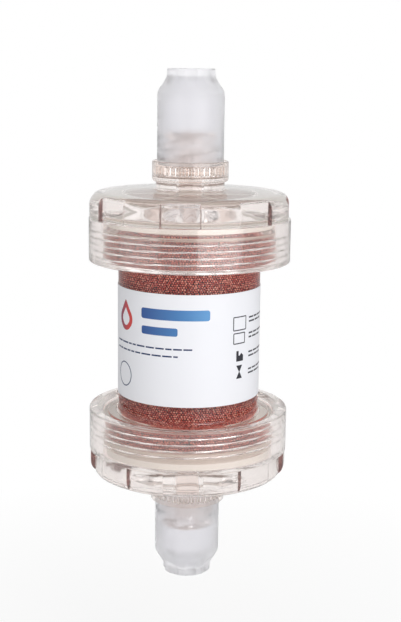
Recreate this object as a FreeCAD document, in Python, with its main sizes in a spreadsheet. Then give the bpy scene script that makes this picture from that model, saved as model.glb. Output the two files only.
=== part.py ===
import FreeCAD, Part
import math
import os

import Sketcher

# Hemoperfusion cartridge: a clear barrel packed with sorbent beads, closed at each end by a screw lid that
# carries a blood port and its cap. Millimetres and degrees. The origin is the middle of the barrel, on its
# axis, with +Z towards the upper port. The lower end is the upper end turned over, so every piece of an end
# is drawn once, for the upper end, and placed twice.

SIZES = {
    "Barrel": {
        "barrel_outer": (35.4, "outer diameter of the tube"),
        "barrel_wall": (1.6, "wall of the tube"),
        "bed_length": (51.2, "packed length of the beads, screen to screen"),
        "bed_clearance": (0.05, "radial gap between beads and tube, for a clean fit"),
    },
    "Barrel flange": {
        "flange_thread_height": (3.7, "how far the flange's thread stands out of the tube"),
        "flange_length": (8.1, "from the flange's near face to the barrel's end"),
        "flange_step_inset": (1.0, "how far the step lies inside the thread's crest"),
        "flange_step_length": (0.6, "length of that step"),
        "flange_lead": (0.8, "chamfer at the outer end of the thread"),
        "flange_root": (0.7, "sloped root between tube and flange"),
    },
    "Label": {
        "label_length": (27.5, "height of the label"),
        "label_offset": (-0.95, "height of the label's middle"),
        "label_thickness": (0.12, "film thickness"),
        "label_adhesive": (0.02, "glue line under the film"),
        "label_angle": (352.0, "angle that the label covers; its butt seam is at the back"),
    },
    "Screen and frame": {
        "screen_seat": (0.9, "how far the mesh and its frame lie on the tube, outside its bore"),
        "screen_thickness": (0.3, "thickness of the mesh"),
        "screen_clearance": (0.1, "radial gap in the barrel's counterbore"),
        "frame_length": (1.7, "height of the frame's ring"),
        "frame_ring_width": (1.6, "radial width of the ring"),
        "frame_hub_outer": (6.0, "diameter of the hub"),
        "frame_spoke_width": (1.1, "width of a spoke"),
        "frame_spoke_length": (1.2, "height of a spoke"),
        "frame_spoke_count": (6, "spokes"),
    },
    "Seal": {
        "seal_inset": (0.8, "how far the gasket lies inside the flange's thread"),
        "seal_overlap": (0.7, "how far it covers the ring of the screen's frame"),
        "seal_thickness": (1.5, "thickness, squeezed"),
        "seal_bevel": (0.3, "bevel of its edges"),
    },
    "Lid": {
        "lid_thread_clearance": (0.2, "radial gap to the flange's thread"),
        "lid_skirt_wall": (3.4, "wall of the skirt outside the thread"),
        "lid_skirt_overhang": (0.85, "how far the skirt passes the flange's near face"),
        "lid_grip_inset": (0.2, "how far the lands lie inside the skirt"),
        "lid_head_height": (6.5, "from the seal's seat to the shoulder's edge"),
        "lid_shoulder_round": (3.0, "rounding of the shoulder"),
        "lid_dome_rise": (0.6, "rise of the dome from shoulder to neck"),
        "lid_neck_wall": (2.4, "wall of the boss that takes the port"),
        "lid_neck_length": (2.0, "length of the boss above the dome"),
        "lid_neck_root": (1.2, "fillet at the foot of the boss"),
        "lid_rim_bevel": (0.3, "bevel of the rim's outer edge"),
        "lid_lead_width": (1.3, "width of the lead-in chamfer at the rim"),
        "lid_lead_length": (0.9, "length of the lead-in chamfer"),
        "header_inset": (0.2, "how far the header chamber's wall lies inside the tube's bore"),
        "header_wall": (0.8, "height of the chamber's straight wall"),
        "header_height": (3.5, "height of the chamber, up to the port's spigot"),
        "pocket_count": (8, "grip pockets round the lid"),
        "pocket_angle": (22.5, "angle of a pocket"),
        "pocket_depth": (1.25, "depth of a pocket below the skirt"),
        "pocket_length": (6.3, "from a pocket's floor to the shoulder"),
        "upper_lid_angle": (-6.3, "where the upper lid's thread stops"),
        "lower_lid_angle": (-24.4, "where the lower lid's thread stops"),
    },
    "Port": {
        "port_lumen": (4.4, "bore for the blood"),
        "port_lumen_lead": (1.0, "chamfer of the bore inside the header"),
        "port_spigot_outer": (12.0, "diameter of the spigot in the boss"),
        "port_spigot_clearance": (0.05, "radial bond gap round the spigot"),
        "port_reach": (12.0, "from the bond line to the port's rim"),
        "port_thread_outer": (13.2, "diameter over the port's thread"),
        "port_thread_depth": (1.0, "depth of the thread"),
        "port_neck_length": (1.6, "plain neck above the collar's floor"),
        "port_rim_lead": (0.6, "chamfer at the port's rim"),
        "socket_mouth": (6.34, "mouth of the conical socket"),
        "socket_length": (9.0, "depth of the socket"),
        "socket_taper": (0.06, "taper of the socket, six percent on diameter"),
        "collar_clearance": (0.2, "radial gap between cap and ribs"),
        "collar_height": (5.05, "height of the collar"),
        "collar_wall": (0.65, "wall of the collar"),
        "collar_floor": (1.1, "thickness of the collar's floor"),
        "collar_round": (0.75, "rounding of the collar's foot"),
        "collar_rim_bevel": (0.2, "bevel of the collar's rim"),
        "rib_count": (36, "ribs inside the collar"),
        "rib_proud": (0.35, "how far a rib stands in from the wall"),
        "rib_angle": (4.0, "angle of a rib"),
        "rib_start": (0.7, "height of a rib's foot above the floor"),
        "rib_length": (2.0, "height of a rib"),
    },
    "Cap": {
        "cap_clearance": (0.25, "radial gap between bore and thread"),
        "cap_wall": (1.35, "wall of the cap"),
        "cap_height": (23.2, "from hem to closed end"),
        "cap_bore_stop": (1.6, "how far the straight bore stops below the taper"),
        "cap_bore_lead": (0.3, "chamfer at the hem"),
        "cap_nose_outer": (12.1, "diameter of the narrow end"),
        "cap_nose_length": (1.9, "straight length of the narrow end"),
        "cap_taper_length": (3.7, "length of the taper"),
        "cap_nose_wall": (2.25, "wall at the inner end of the hollow"),
        "cap_end_wall": (2.2, "thickness of the closed end"),
        "cap_shoulder_round": (2.0, "rounding where the taper starts"),
        "cap_nose_bevel": (0.5, "bevel of the closed end"),
        "scoop_count": (8, "scoops round the narrow end"),
        "scoop_radius": (3.5, "radius of a scoop's cutter"),
        "scoop_depth": (0.55, "depth of a scoop in the narrow end"),
        "scoop_length": (1.2, "straight length of a scoop"),
        "upper_cap_gap": (2.9, "hem above the collar's floor, upper cap"),
        "lower_cap_gap": (0.3, "hem above the collar's floor, lower cap"),
        "upper_cap_angle": (0.0, "where the upper cap's thread stops"),
        "lower_cap_angle": (10.5, "where the lower cap's thread stops"),
    },
}

FULL_TURN = 360
SHEET = "Sizes"
MATCH = 1e-4

doc = FreeCAD.newDocument("hemoperfusion_cartridge")


class Size:
    """A length or angle that carries both its number and the sheet formula that gives it."""

    def __init__(self, number, formula):
        self.number = number
        self.formula = formula

    def __add__(self, other):
        other = as_size(other)
        return Size(self.number + other.number, f"({self.formula} + {other.formula})")

    def __sub__(self, other):
        other = as_size(other)
        return Size(self.number - other.number, f"({self.formula} - {other.formula})")

    def __mul__(self, other):
        other = as_size(other)
        return Size(self.number * other.number, f"({self.formula} * {other.formula})")

    def __truediv__(self, other):
        other = as_size(other)
        return Size(self.number / other.number, f"({self.formula} / {other.formula})")


def as_size(value):
    """A plain number as a Size."""
    return value if isinstance(value, Size) else Size(value, str(value))


def fill_sheet():
    """Write every driving size into the sheet, one row each, under its section's title."""
    sheet = doc.addObject("Spreadsheet::Sheet", SHEET)
    sizes = {}
    row = 1
    for section, entries in SIZES.items():
        sheet.set(f"A{row}", section)
        row += 1
        for alias, (number, meaning) in entries.items():
            sheet.set(f"A{row}", alias)
            sheet.set(f"B{row}", str(number))
            sheet.setAlias(f"B{row}", alias)
            sheet.set(f"C{row}", meaning)
            sizes[alias] = Size(number, f"{SHEET}.{alias}")
            row += 1
    doc.recompute()
    return sizes


size = fill_sheet()
ZERO = Size(0, "0")

# Radii that several pieces share.
barrel_radius = size["barrel_outer"] / 2
bore_radius = barrel_radius - size["barrel_wall"]
flange_radius = barrel_radius + size["flange_thread_height"]
screen_radius = bore_radius + size["screen_seat"]
lid_bore_radius = flange_radius + size["lid_thread_clearance"]
lid_radius = lid_bore_radius + size["lid_skirt_wall"]
spigot_radius = size["port_spigot_outer"] / 2
boss_bore_radius = spigot_radius + size["port_spigot_clearance"]
thread_radius = size["port_thread_outer"] / 2
cap_bore_radius = thread_radius + size["cap_clearance"]
cap_radius = cap_bore_radius + size["cap_wall"]
nose_radius = size["cap_nose_outer"] / 2
rib_radius = cap_radius + size["collar_clearance"]
cup_radius = rib_radius + size["rib_proud"]
collar_radius = cup_radius + size["collar_wall"]

# Heights of the upper end's seats, each from the one below it.
screen_height = size["bed_length"] / 2
frame_height = screen_height + size["screen_thickness"]
barrel_end = frame_height + size["frame_length"]
flange_face = barrel_end - size["flange_length"]
lid_rim = flange_face - size["lid_skirt_overhang"]
seal_top = barrel_end + size["seal_thickness"]
header_top = seal_top + size["header_height"]
shoulder_height = seal_top + size["lid_head_height"]
neck_foot = shoulder_height + size["lid_dome_rise"]
bond_line = neck_foot + size["lid_neck_length"]
collar_floor = bond_line + size["collar_floor"]


def add_body(label):
    """A new body, whose label names its file."""
    body = doc.addObject("PartDesign::Body", label)
    body.Label = label
    return body


def datum(body, role):
    """The body's own origin plane or axis with this role."""
    return next(f for f in body.Origin.OriginFeatures if f.Role == role)


def bind(thing, name, value):
    """Tie a property to the sheet."""
    thing.setExpression(name, as_size(value).formula)


def draw_outline(body, name, points, plane="XZ_Plane", offset=None):
    """A closed outline of straight sides, each corner held at its two distances from the sketch's origin."""
    sketch = body.newObject("Sketcher::SketchObject", name)
    sketch.AttachmentSupport = (datum(body, plane), [""])
    sketch.MapMode = "FlatFace"
    if offset:
        direction, distance = offset
        bind(sketch, f".AttachmentOffset.Base.{direction}", distance)
    corners = [(as_size(across), as_size(up)) for across, up in points]
    count = len(corners)
    for index in range(count):
        start, end = [
            FreeCAD.Vector(corner[0].number, corner[1].number, 0)
            for corner in (corners[index], corners[(index + 1) % count])
        ]
        sketch.addGeometry(Part.LineSegment(start, end), False)
    for index in range(count):
        sketch.addConstraint(Sketcher.Constraint("Coincident", index, 2, (index + 1) % count, 1))
    for index, corner in enumerate(corners):
        for kind, value in zip(("DistanceX", "DistanceY"), corner):
            number = sketch.addConstraint(Sketcher.Constraint(kind, -1, 1, index, 1, value.number))
            label = f"{kind}_{index}"
            sketch.renameConstraint(number, label)
            bind(sketch, f"Constraints.{label}", value)
    return sketch


def turn(body, name, points, kind="Revolution", sweep=FULL_TURN):
    """Turn an outline of radii and heights about the body's axis, to add or to cut material."""
    feature = body.newObject(f"PartDesign::{kind}", name)
    feature.Profile = draw_outline(body, f"{name}_outline", points)
    feature.ReferenceAxis = (datum(body, "Z_Axis"), [""])
    feature.Midplane = True
    bind(feature, "Angle", sweep)
    return feature


def repeat(body, name, feature, count):
    """Copies of a feature spread evenly round the body's axis."""
    pattern = body.newObject("PartDesign::PolarPattern", name)
    pattern.Originals = [feature]
    pattern.Axis = (datum(body, "Z_Axis"), [""])
    pattern.Angle = FULL_TURN
    bind(pattern, "Occurrences", count)
    body.Tip = pattern
    return pattern


def round_ring(body, name, rounding, ring_radius, height):
    """Round the circular edge of this radius at this height."""
    doc.recompute()
    base = body.Tip
    found = []
    for index, edge in enumerate(base.Shape.Edges, start=1):
        if not isinstance(edge.Curve, Part.Circle):
            continue
        same_radius = abs(edge.Curve.Radius - ring_radius.number) < MATCH
        same_height = abs(edge.Curve.Center.z - height.number) < MATCH
        if same_radius and same_height:
            found.append(f"Edge{index}")
    if not found:
        raise RuntimeError(f"{body.Label}: {name} found no edge")
    fillet = body.newObject("PartDesign::Fillet", name)
    fillet.Base = (base, found)
    bind(fillet, "Radius", rounding)


def place(body, end, height=ZERO, turned=ZERO):
    """Put a piece drawn for the upper end at a height on that end, or turn it over for the lower end."""
    about_axis = FreeCAD.Rotation(FreeCAD.Vector(0, 0, 1), turned.number)
    over = FreeCAD.Rotation(FreeCAD.Vector(1, 0, 0), 180 if end == "lower" else 0)
    side = -1 if end == "lower" else 1
    body.Placement = FreeCAD.Placement(FreeCAD.Vector(0, 0, side * height.number), about_axis * over)
    bind(body, "Placement.Base.z", height * side)


def make_barrel():
    """Clear tube with a stepped, threaded flange and a counterbore for the screen on each end."""
    body = add_body("barrel")
    thread_start = flange_face + size["flange_step_length"]
    step_radius = flange_radius - size["flange_step_inset"]
    root = size["flange_root"]
    counterbore = screen_radius + size["screen_clearance"]
    half = turn(body, "upper_half", [
        (bore_radius, 0),
        (barrel_radius, 0),
        (barrel_radius, flange_face - root),
        (barrel_radius + root, flange_face),
        (step_radius, flange_face),
        (step_radius, thread_start),
        (flange_radius, thread_start),
        (flange_radius, barrel_end - size["flange_lead"]),
        (flange_radius - size["flange_lead"], barrel_end),
        (counterbore, barrel_end),
        (counterbore, screen_height),
        (bore_radius, screen_height),
    ])
    both = body.newObject("PartDesign::Mirrored", "both_halves")
    both.Originals = [half]
    both.MirrorPlane = (datum(body, "XY_Plane"), [""])
    body.Tip = both


def make_sorbent_bed():
    """The packed beads, as one solid that fills the tube from screen to screen."""
    bed = doc.addObject("Part::Cylinder", "sorbent_bed")
    bed.Label = "sorbent_bed"
    bind(bed, "Radius", bore_radius - size["bed_clearance"])
    bind(bed, "Height", size["bed_length"])
    bed.Placement.Base.z = -size["bed_length"].number / 2
    bind(bed, "Placement.Base.z", size["bed_length"] / -2)


def make_label():
    """Film wrapped round the barrel, its butt seam at the back."""
    body = add_body("label")
    inner = barrel_radius + size["label_adhesive"]
    outer = inner + size["label_thickness"]
    bottom = size["label_offset"] - size["label_length"] / 2
    top = size["label_offset"] + size["label_length"] / 2
    turn(body, "film", [(inner, bottom), (outer, bottom), (outer, top), (inner, top)],
         sweep=size["label_angle"])
    body.Placement = FreeCAD.Placement(FreeCAD.Vector(), FreeCAD.Rotation(FreeCAD.Vector(0, 0, 1), -90))


def make_screen(end):
    """Fine mesh disc that keeps the beads out of the header."""
    screen = doc.addObject("Part::Cylinder", f"{end}_screen")
    screen.Label = f"{end}_screen"
    bind(screen, "Radius", screen_radius)
    bind(screen, "Height", size["screen_thickness"])
    place(screen, end, screen_height)


def make_screen_frame(end):
    """Ring with spokes and a hub that backs the mesh against the flow, flush with the barrel's end."""
    body = add_body(f"{end}_screen_frame")
    ring_inner = screen_radius - size["frame_ring_width"]
    hub_radius = size["frame_hub_outer"] / 2
    spoke_overlap = size["frame_ring_width"] / 2
    turn(body, f"{end}_frame_ring", [
        (ring_inner, 0),
        (screen_radius, 0),
        (screen_radius, size["frame_length"]),
        (ring_inner, size["frame_length"]),
    ])
    half_width = size["frame_spoke_width"] / 2
    spoke = body.newObject("PartDesign::Pad", f"{end}_frame_spoke")
    spoke.Profile = draw_outline(body, f"{end}_frame_spoke_outline", [
        (ZERO, half_width * -1),
        (ring_inner + spoke_overlap, half_width * -1),
        (ring_inner + spoke_overlap, half_width),
        (ZERO, half_width),
    ], plane="XY_Plane")
    bind(spoke, "Length", size["frame_spoke_length"])
    repeat(body, f"{end}_frame_spokes", spoke, size["frame_spoke_count"])
    turn(body, f"{end}_frame_hub", [
        (0, 0),
        (hub_radius, 0),
        (hub_radius, size["frame_spoke_length"]),
        (0, size["frame_spoke_length"]),
    ])
    place(body, end, frame_height)


def make_seal(end):
    """Flat gasket squeezed between the barrel's end and the lid."""
    body = add_body(f"{end}_seal")
    inner = screen_radius - size["seal_overlap"]
    outer = flange_radius - size["seal_inset"]
    top = size["seal_thickness"]
    bevel = size["seal_bevel"]
    turn(body, f"{end}_seal_ring", [
        (inner + bevel, 0),
        (outer - bevel, 0),
        (outer, bevel),
        (outer, top - bevel),
        (outer - bevel, top),
        (inner + bevel, top),
        (inner, top - bevel),
        (inner, bevel),
    ])
    place(body, end, barrel_end)


def make_lid(end):
    """Moulded screw lid: threaded skirt, header chamber, boss for the port and grip pockets."""
    body = add_body(f"{end}_lid")
    grip_start = shoulder_height - size["pocket_length"]
    land_radius = lid_radius - size["lid_grip_inset"]
    neck_radius = boss_bore_radius + size["lid_neck_wall"]
    header_radius = bore_radius - size["header_inset"]
    turn(body, f"{end}_lid_shell", [
        (lid_bore_radius + size["lid_lead_width"], lid_rim),
        (lid_radius - size["lid_rim_bevel"], lid_rim),
        (lid_radius, lid_rim + size["lid_rim_bevel"]),
        (lid_radius, grip_start),
        (land_radius, grip_start),
        (land_radius, shoulder_height),
        (neck_radius, neck_foot),
        (neck_radius, bond_line),
        (boss_bore_radius, bond_line),
        (boss_bore_radius, header_top),
        (header_radius, seal_top + size["header_wall"]),
        (header_radius, seal_top),
        (lid_bore_radius, seal_top),
        (lid_bore_radius, lid_rim + size["lid_lead_length"]),
    ])
    round_ring(body, f"{end}_lid_shoulder", size["lid_shoulder_round"], land_radius, shoulder_height)
    round_ring(body, f"{end}_lid_neck_root", size["lid_neck_root"], neck_radius, neck_foot)
    pocket_floor = lid_radius - size["pocket_depth"]
    beyond = lid_radius + size["pocket_depth"]
    pocket = turn(body, f"{end}_lid_pocket", [
        (pocket_floor, grip_start),
        (beyond, grip_start),
        (beyond, neck_foot),
        (pocket_floor, neck_foot),
    ], kind="Groove", sweep=size["pocket_angle"])
    repeat(body, f"{end}_lid_pockets", pocket, size["pocket_count"])
    place(body, end, turned=size[f"{end}_lid_angle"])


def make_port(end):
    """Blood port: spigot in the lid's boss, cup-like collar with ribs inside it, tube with conical socket."""
    body = add_body(f"{end}_port")
    lumen = size["port_lumen"] / 2
    lumen_lead = size["port_lumen_lead"]
    neck_radius = thread_radius - size["port_thread_depth"]
    mouth = size["socket_mouth"] / 2
    socket_end = mouth - size["socket_length"] * size["socket_taper"] / 2
    collar_top = bond_line + size["collar_height"]
    rim = bond_line + size["port_reach"]
    rim_lead = size["port_rim_lead"]
    collar_bevel = size["collar_rim_bevel"]
    thread_start = collar_floor + size["port_neck_length"]
    socket_floor = rim - size["socket_length"]
    turn(body, f"{end}_port_tube", [
        (lumen + lumen_lead, header_top),
        (spigot_radius, header_top),
        (spigot_radius, bond_line),
        (collar_radius, bond_line),
        (collar_radius, collar_top - collar_bevel),
        (collar_radius - collar_bevel, collar_top),
        (cup_radius + collar_bevel, collar_top),
        (cup_radius, collar_top - collar_bevel),
        (cup_radius, collar_floor),
        (neck_radius, collar_floor),
        (neck_radius, thread_start),
        (thread_radius, thread_start + size["port_thread_depth"]),
        (thread_radius, rim - rim_lead),
        (thread_radius - rim_lead, rim),
        (mouth, rim),
        (socket_end, socket_floor),
        (lumen, socket_floor),
        (lumen, header_top + lumen_lead),
    ])
    round_ring(body, f"{end}_collar_foot", size["collar_round"], collar_radius, bond_line)
    rib_foot = collar_floor + size["rib_start"]
    rib_top = rib_foot + size["rib_length"]
    rib_back = cup_radius + size["collar_wall"] / 2
    rib = turn(body, f"{end}_collar_rib", [
        (rib_radius, rib_foot),
        (rib_back, rib_foot),
        (rib_back, rib_top),
        (rib_radius, rib_top),
    ], sweep=size["rib_angle"])
    repeat(body, f"{end}_collar_ribs", rib, size["rib_count"])
    place(body, end)


def add_scoops(body, end):
    """Scoops round the cap's narrow end: a straight cut that ends in a ball, so each has an arched top."""
    radius = size["scoop_radius"]
    axis_distance = nose_radius - size["scoop_depth"] + radius
    ball_height = size["cap_height"] - size["scoop_length"]
    beyond = size["cap_height"] + size["scoop_length"]
    sketch = body.newObject("Sketcher::SketchObject", f"{end}_scoop_outline")
    sketch.AttachmentSupport = (datum(body, "XZ_Plane"), [""])
    sketch.MapMode = "FlatFace"
    bind(sketch, ".AttachmentOffset.Base.x", axis_distance)
    bind(sketch, ".AttachmentOffset.Base.y", ball_height)
    top = (beyond - ball_height).number
    centre = FreeCAD.Vector(0, 0, 0)
    side = FreeCAD.Vector(radius.number, 0, 0)
    circle = Part.Circle(centre, FreeCAD.Vector(0, 0, 1), radius.number)
    sketch.addGeometry(Part.ArcOfCircle(circle, -math.pi / 2, 0), False)
    sketch.addGeometry(Part.LineSegment(side, FreeCAD.Vector(radius.number, top, 0)), False)
    sketch.addGeometry(Part.LineSegment(FreeCAD.Vector(radius.number, top, 0),
                                        FreeCAD.Vector(0, top, 0)), False)
    sketch.addGeometry(Part.LineSegment(FreeCAD.Vector(0, top, 0),
                                        FreeCAD.Vector(0, -radius.number, 0)), False)
    for constraint in (
        Sketcher.Constraint("Coincident", 0, 3, -1, 1),
        Sketcher.Constraint("Coincident", 0, 2, 1, 1),
        Sketcher.Constraint("Coincident", 1, 2, 2, 1),
        Sketcher.Constraint("Coincident", 2, 2, 3, 1),
        Sketcher.Constraint("Coincident", 3, 2, 0, 1),
        Sketcher.Constraint("PointOnObject", 0, 1, -2),
        Sketcher.Constraint("PointOnObject", 0, 2, -1),
        Sketcher.Constraint("PointOnObject", 3, 1, -2),
        Sketcher.Constraint("Vertical", 1),
        Sketcher.Constraint("Horizontal", 2),
    ):
        sketch.addConstraint(constraint)
    for label, constraint, value in (
        ("ball", Sketcher.Constraint("Radius", 0, radius.number), radius),
        ("reach", Sketcher.Constraint("DistanceY", -1, 1, 2, 1, top), beyond - ball_height),
    ):
        sketch.renameConstraint(sketch.addConstraint(constraint), label)
        bind(sketch, f"Constraints.{label}", value)
    scoop = body.newObject("PartDesign::Groove", f"{end}_scoop")
    scoop.Profile = sketch
    scoop.ReferenceAxis = (sketch, ["V_Axis"])
    scoop.Angle = FULL_TURN
    repeat(body, f"{end}_scoops", scoop, size["scoop_count"])


def make_cap(end):
    """Milky screw cap, closed at its narrow end, drawn from its hem upwards."""
    body = add_body(f"{end}_cap")
    lead = size["cap_bore_lead"]
    top = size["cap_height"]
    bevel = size["cap_nose_bevel"]
    nose_start = top - size["cap_nose_length"]
    shoulder = nose_start - size["cap_taper_length"]
    turn(body, f"{end}_cap_shell", [
        (cap_bore_radius + lead, 0),
        (cap_radius, 0),
        (cap_radius, shoulder),
        (nose_radius, nose_start),
        (nose_radius, top - bevel),
        (nose_radius - bevel, top),
        (0, top),
        (0, top - size["cap_end_wall"]),
        (nose_radius - size["cap_nose_wall"], top - size["cap_end_wall"]),
        (cap_bore_radius, shoulder - size["cap_bore_stop"]),
        (cap_bore_radius, lead),
    ])
    round_ring(body, f"{end}_cap_shoulder", size["cap_shoulder_round"], cap_radius, shoulder)
    add_scoops(body, end)
    place(body, end, collar_floor + size[f"{end}_cap_gap"], size[f"{end}_cap_angle"])


def check_and_write():
    """Stop if anything failed to build, then write each sub-part to its own file."""
    doc.recompute()
    failed = [o.Label for o in doc.Objects if {"Invalid", "Error"} & set(o.State)]
    if failed:
        raise RuntimeError(f"failed features: {failed}")
    subparts = [o for o in doc.Objects if o.TypeId in ("PartDesign::Body", "Part::Cylinder")]
    for part in subparts:
        if part.Shape.isNull() or not part.Shape.isValid():
            raise RuntimeError(f"{part.Label}: bad shape")
    os.makedirs("parts", exist_ok=True)
    for part in subparts:
        part.Shape.exportStep(f"parts/{part.Label}.step")
        box = part.Shape.BoundBox
        print(f"{part.Label}: {len(part.Shape.Solids)} solid, {part.Shape.Volume:.0f} mm3, "
              f"z {box.ZMin:.2f} to {box.ZMax:.2f}")


make_barrel()
make_sorbent_bed()
make_label()
for end in ("upper", "lower"):
    make_screen(end)
    make_screen_frame(end)
    make_seal(end)
    make_lid(end)
    make_port(end)
    make_cap(end)
check_and_write()
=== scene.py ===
# %% [markdown]
# A hemoperfusion cartridge, dressed piece by piece.
# The object is a small blood filter: a clear barrel packed with red-brown sorbent beads, a clear screw lid on
# each end, and in each lid a blood port under a milky cap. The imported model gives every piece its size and
# place. This lesson gives the pieces their threads, print, beads and finishes, and a studio to stand in.
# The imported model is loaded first, and its box is kept, so that the end can be compared with it.

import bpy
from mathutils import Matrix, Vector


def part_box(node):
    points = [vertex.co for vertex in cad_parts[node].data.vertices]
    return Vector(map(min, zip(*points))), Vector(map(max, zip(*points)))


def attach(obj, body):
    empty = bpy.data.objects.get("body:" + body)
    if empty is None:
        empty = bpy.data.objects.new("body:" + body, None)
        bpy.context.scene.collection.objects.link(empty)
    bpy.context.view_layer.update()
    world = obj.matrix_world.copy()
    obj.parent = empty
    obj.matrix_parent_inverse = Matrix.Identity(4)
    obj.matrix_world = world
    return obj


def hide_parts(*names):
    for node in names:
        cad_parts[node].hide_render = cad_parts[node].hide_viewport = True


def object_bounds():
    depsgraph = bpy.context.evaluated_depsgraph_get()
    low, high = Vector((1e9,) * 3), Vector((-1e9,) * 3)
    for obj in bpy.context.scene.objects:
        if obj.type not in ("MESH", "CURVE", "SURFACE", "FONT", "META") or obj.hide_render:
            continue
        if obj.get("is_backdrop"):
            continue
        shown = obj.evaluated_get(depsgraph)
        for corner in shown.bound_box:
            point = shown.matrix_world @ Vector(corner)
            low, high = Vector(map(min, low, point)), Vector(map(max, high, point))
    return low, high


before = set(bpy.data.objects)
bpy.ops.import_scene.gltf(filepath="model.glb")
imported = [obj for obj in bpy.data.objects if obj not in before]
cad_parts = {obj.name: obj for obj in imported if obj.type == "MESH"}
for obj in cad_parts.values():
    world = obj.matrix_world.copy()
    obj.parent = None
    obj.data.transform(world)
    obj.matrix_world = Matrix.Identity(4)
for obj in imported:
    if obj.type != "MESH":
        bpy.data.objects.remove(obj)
cad_low, cad_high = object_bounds()
print(f"{len(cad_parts)} pieces in the packed model")

import math
import random

import bpy
from mathutils import Vector

# %% [markdown]
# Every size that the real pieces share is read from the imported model. A round piece needs three numbers:
# its largest radius and its lowest and highest point. The model is in metres, and a maker thinks of such a
# small part in millimetres, so the lesson works in millimetres and turns them into metres at the last step.
# Points that are less than NEAR apart, in millimetres, count as one, and a wall is looked for with a little
# SLACK at its ends.

# %% Read the sizes of the real pieces
MM = 0.001
FULL_TURN = 2 * math.pi
NEAR = 0.001
SLACK = 0.01


def size_of(node):
    """Largest radius, bottom and top of a node, in mm."""
    low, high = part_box(node)
    radius = max(math.hypot(v.co.x, v.co.y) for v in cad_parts[node].data.vertices)
    return radius / MM, low.z / MM, high.z / MM


flange_radius, _, barrel_end = size_of("barrel")
_, bed_bottom, bed_top = size_of("sorbent_bed")
label_radius, label_bottom, label_top = size_of("label")
lid_radius, lid_rim, bond_line = size_of("upper_lid")
collar_radius, spigot_end, port_rim = size_of("upper_port")
cap_radius, cap_hem, cap_end = size_of("upper_cap")
_, lower_cap_end, _ = size_of("lower_cap")
_, _, seal_top = size_of("upper_seal")
screen_radius, screen_bottom, _ = size_of("upper_screen")
print(f"lid {2 * lid_radius:.1f} mm across, {cap_end - lower_cap_end:.1f} mm over the caps")

# %% [markdown]
# An operator works on all that is selected, so the right vertices, edges or faces are selected first, in
# code, by their place. The first helpers do just that, and leave nothing else selected.

# %% Select and measure
SELECT_MODES = {
    "vertices": (True, False, False),
    "edges": (False, True, False),
    "polygons": (False, False, True),
}


def deselect_all():
    """Leave edit mode if needed, with nothing selected."""
    if bpy.context.object and bpy.context.object.mode != "OBJECT":
        bpy.ops.object.mode_set(mode="OBJECT")
    bpy.ops.object.select_all(action="DESELECT")


def activate(piece):
    """Make this the one selected and active object."""
    deselect_all()
    piece.select_set(True)
    bpy.context.view_layer.objects.active = piece


def edit(piece, kind="vertices", wanted=None):
    """Enter edit mode with the wanted vertices, edges or polygons selected, or with all of them."""
    activate(piece)
    bpy.context.tool_settings.mesh_select_mode = SELECT_MODES[kind]
    mesh = piece.data
    for elements in (mesh.vertices, mesh.edges, mesh.polygons):
        elements.foreach_set("select", [False] * len(elements))
    for element in getattr(mesh, kind):
        element.select = wanted is None or wanted(element)
    bpy.ops.object.mode_set(mode="EDIT")


def ends(piece, edge):
    """The two end points of an edge, in mm, as (radius, height)."""
    points = [piece.data.vertices[index].co for index in edge.vertices]
    return [(math.hypot(p.x, p.y) / MM, p.z / MM) for p in points]


# %% [markdown]
# Nearly everything here was moulded round, so one way of working serves for most pieces: draw half of the
# section as a flat outline, round its corners, and spin it about the axis. The outline starts as a filled
# circle with one vertex per corner, and its corners are rounded with the vertex bevel, as a mould maker
# rounds an edge. A corner is (radius, height) or (radius, height, rounding).

# %% Draw an outline
ARC_STEP = math.radians(12)


def draw_outline(name, corners):
    """A flat, filled outline in the plane of X and Z, with its corners rounded."""
    deselect_all()
    bpy.ops.mesh.primitive_circle_add(vertices=len(corners), radius=MM, fill_type="NGON")
    piece = bpy.context.object
    piece.name = name
    piece.data.name = name
    places = [Vector((corner[0], 0, corner[1])) * MM for corner in corners]
    for vertex, place in zip(piece.data.vertices, places):
        vertex.co = place
    for index, corner in enumerate(corners):
        if len(corner) < 3:
            continue
        here = places[index]
        before = places[index - 1]
        after = places[(index + 1) % len(places)]
        bend = (here - before).angle(after - here)
        edit(piece, "vertices", lambda vertex: (vertex.co - here).length < NEAR * MM)
        bpy.ops.mesh.bevel(
            offset=corner[2] * MM * math.tan(bend / 2),
            segments=max(3, math.ceil(bend / ARC_STEP)),
            affect="VERTICES",
        )
        bpy.ops.object.mode_set(mode="OBJECT")
    return piece


# %% [markdown]
# A straight edge of the outline has no vertices between its ends, and a thread needs many, so the edge of
# a threaded wall is divided into rows first. Then the outline is spun. The spin operator would do for that,
# but the Screw modifier without any climb gives the same skin much faster. An edge that lies on the axis is
# taken out before, and the doubles are merged after, so that the poles are closed.

# %% Divide a wall and spin the outline


def divide(piece, radius, bottom, top, rows):
    """Cut the outline's straight edge at this radius into rows, which a thread needs."""
    def on_wall(edge):
        (first_radius, first_height), (last_radius, last_height) = ends(piece, edge)
        straight = abs(first_radius - radius) < NEAR and abs(last_radius - radius) < NEAR
        return straight and all(bottom - SLACK < h < top + SLACK for h in (first_height, last_height))

    edit(piece, "edges", on_wall)
    bpy.ops.mesh.subdivide(number_cuts=rows - 1)
    bpy.ops.object.mode_set(mode="OBJECT")


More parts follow.
